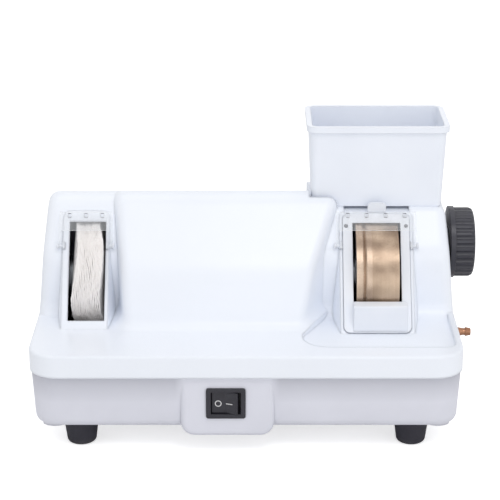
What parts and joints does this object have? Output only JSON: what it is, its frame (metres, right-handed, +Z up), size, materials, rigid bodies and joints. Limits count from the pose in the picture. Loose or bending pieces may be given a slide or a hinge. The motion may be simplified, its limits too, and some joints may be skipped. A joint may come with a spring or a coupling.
{
  "type": "optical lens edger",
  "caption": "Free-standing bench lens edger: grinding and buffing wheels under a white cover, water tank on top, clear guards, front switch and side hand knob.",
  "frame": {"origin": "on the bench under the middle of the machine's overall box, side fittings included", "axes": "+X to the operator's right along the spindle, +Y to the back, +Z up"},
  "size_m": [0.3606, 0.215, 0.2358],
  "materials": {
    "cover_white": "fine matt cool white moulding",
    "base_white": "fine matt light grey-white moulding",
    "insert_white": "matt white moulding",
    "black_rubber": "matt black rubber",
    "black_plastic": "matt black moulding",
    "black_gloss": "semi-gloss black moulding",
    "clear_sheet": "clear bent sheet, semi-transparent",
    "tray_grey": "dark grey splash tray",
    "steel": "turned and ground steel",
    "zinc_steel": "bright zinc plated steel",
    "core_steel": "stacked laminations",
    "aluminium": "turned aluminium",
    "motor_paint": "grey enamel",
    "copper_winding": "enamelled copper wire",
    "brass": "turned brass",
    "diamond_bronze": "fine diamond grit in a bronze bond",
    "buff_cotton": "soft cream cotton plies with fine fibres",
    "capacitor_plastic": "off-white moulding",
    "hose_rubber": "soft grey tube",
    "terminal_plastic": "off-white moulding"
  },
  "bodies": {
    "housing": {"base_tub": "base_white", "top_cover": "cover_white", "foot_left_front": "black_rubber", "foot_right_front": "black_rubber", "foot_left_back": "black_rubber", "foot_right_back": "black_rubber", "foot_screws": "zinc_steel", "cover_screws": "zinc_steel", "wheel_frame": "insert_white", "frame_screws": "zinc_steel", "lens_rest": "insert_white", "motor_shell": "motor_paint", "motor_end_left": "aluminium", "motor_end_right": "aluminium", "motor_bearings": "steel", "stator_core": "core_steel", "stator_windings": "copper_winding", "motor_cradle": "motor_paint", "cradle_bolts": "zinc_steel", "motor_straps": "zinc_steel", "strap_bolts": "zinc_steel", "left_tray": "tray_grey", "right_tray": "tray_grey", "tray_screws": "zinc_steel", "drain_nipple": "brass", "drain_nut": "brass", "drain_hose": "hose_rubber", "switch_body": "black_gloss", "switch_tabs": "brass", "power_inlet": "black_plastic", "inlet_pins": "brass", "inlet_screws": "zinc_steel", "knob_bush": "brass", "tap_body": "insert_white", "motor_capacitor": "capacitor_plastic", "capacitor_clip": "zinc_steel", "terminal_block": "terminal_plastic", "terminal_screws": "brass", "guard_screws": "zinc_steel"},
    "spindle": {"spindle_shaft": "steel", "wheel_core": "aluminium", "finish_rim": "diamond_bronze", "rough_rim": "diamond_bronze", "buffing_wheel": "buff_cotton", "wheel_flanges": "steel", "buff_flanges": "steel", "wheel_nut": "zinc_steel", "buff_nut": "zinc_steel", "shaft_slingers": "hose_rubber", "rotor_core": "core_steel", "cooling_fan": "black_plastic"},
    "rocker": {"switch_rocker": "black_gloss"},
    "guard_left": {"left_guard": "clear_sheet"},
    "guard_right": {"right_guard": "clear_sheet"},
    "tank": {"water_tank": "cover_white"},
    "lever": {"tap_lever": "insert_white"},
    "knob": {"side_knob": "black_plastic", "knob_stud": "steel", "knob_lock": "zinc_steel"}
  },
  "joints": [
    {"name": "spindle_spin", "type": "hinge", "parent": "housing", "child": "spindle", "pos_m": [-0.00975, 0.0095, 0.1085], "axis": [1, 0, 0], "continuous": true},
    {"name": "rocker_tilt", "type": "hinge", "parent": "housing", "child": "rocker", "pos_m": [-0.02565, -0.0998, 0.045], "axis": [0, 0, 1], "range_deg": [0, 20]},
    {"name": "left_guard_swing", "type": "hinge", "parent": "housing", "child": "guard_left", "pos_m": [-0.14, -0.01312, 0.14264], "axis": [1, 0, 0], "range_deg": [0, 40]},
    {"name": "right_guard_swing", "type": "hinge", "parent": "housing", "child": "guard_right", "pos_m": [0.09575, -0.01312, 0.14264], "axis": [1, 0, 0], "range_deg": [0, 40]},
    {"name": "tank_lift", "type": "slide", "parent": "housing", "child": "tank", "axis": [0, 0, 1], "range_m": [0, 0.04]},
    {"name": "tap_turn", "type": "hinge", "parent": "housing", "child": "lever", "pos_m": [0.09675, 0.0445, 0.1655], "axis": [0, 0, 1], "range_deg": [-18, 18]},
    {"name": "knob_turn", "type": "hinge", "parent": "housing", "child": "knob", "pos_m": [0.15845, 0.0295, 0.131], "axis": [1, 0, 0], "continuous": true}
  ]
}
